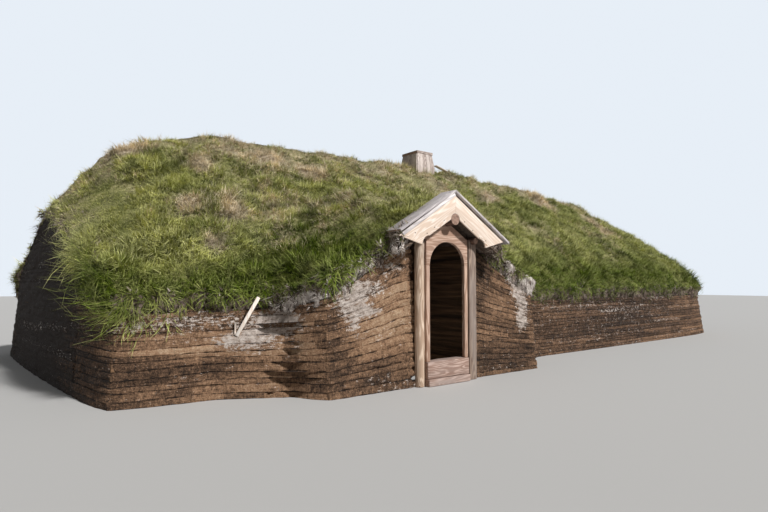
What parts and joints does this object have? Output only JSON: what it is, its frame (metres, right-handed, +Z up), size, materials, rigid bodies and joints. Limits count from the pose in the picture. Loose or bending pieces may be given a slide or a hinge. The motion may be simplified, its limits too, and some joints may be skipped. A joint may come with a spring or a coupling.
{
  "type": "turf longhouse",
  "caption": "Long low house of turf walls and grassed turf roof on a timber frame, with a gabled timber door porch and a plank smoke vent on the ridge.",
  "frame": {"origin": "on the ground in the middle of the plan, under the middle of the overall box", "axes": "+X to the right along the front, +Y from the door front into the house, +Z up"},
  "size_m": [17.348, 8.7, 4.98],
  "materials": {
    "wall_turf": "dry layered turf strips",
    "roof_turf": "living grassed turf",
    "inner_timber": "raw sawn and round timber",
    "dark_log": "raw debarked log",
    "pale_log": "smooth debarked log",
    "weathered_timber": "weathered timber",
    "frame_timber": "planed timber",
    "new_board": "new planed softwood",
    "grey_board": "grey weathered board",
    "vent_planks": "weathered planks"
  },
  "bodies": {
    "root": {"front_wall_left": "wall_turf", "front_wall_right": "wall_turf", "left_wing_wall": "wall_turf", "right_wing_wall": "wall_turf", "back_wall_left": "wall_turf", "back_wall_right": "wall_turf", "left_end_wall": "wall_turf", "right_end_wall": "wall_turf", "front_turf_left": "roof_turf", "front_turf_right": "roof_turf", "porch_turf": "roof_turf", "back_turf_left": "roof_turf", "back_turf_right": "roof_turf", "left_end_turf": "roof_turf", "right_end_turf": "roof_turf", "roof_boards_front": "inner_timber", "roof_boards_back": "inner_timber", "ridge_beam": "inner_timber", "side_beam_front": "inner_timber", "side_beam_back": "inner_timber", "hall_posts_front": "inner_timber", "hall_posts_back": "inner_timber", "cross_beams": "inner_timber", "king_posts": "inner_timber", "porch_roof_boards": "inner_timber", "hood_roof_boards": "inner_timber", "porch_ridge_pole": "dark_log", "porch_plate_left": "dark_log", "porch_plate_right": "dark_log", "door_post_left": "pale_log", "door_post_right": "weathered_timber", "door_jamb_left": "frame_timber", "door_jamb_right": "frame_timber", "arched_head": "frame_timber", "gable_board": "frame_timber", "threshold": "weathered_timber", "step_block": "weathered_timber", "barge_board_left": "new_board", "barge_board_right": "new_board", "cap_board_left": "grey_board", "cap_board_right": "grey_board", "vent_box": "vent_planks", "vent_rim": "vent_planks"}
  },
  "joints": []
}
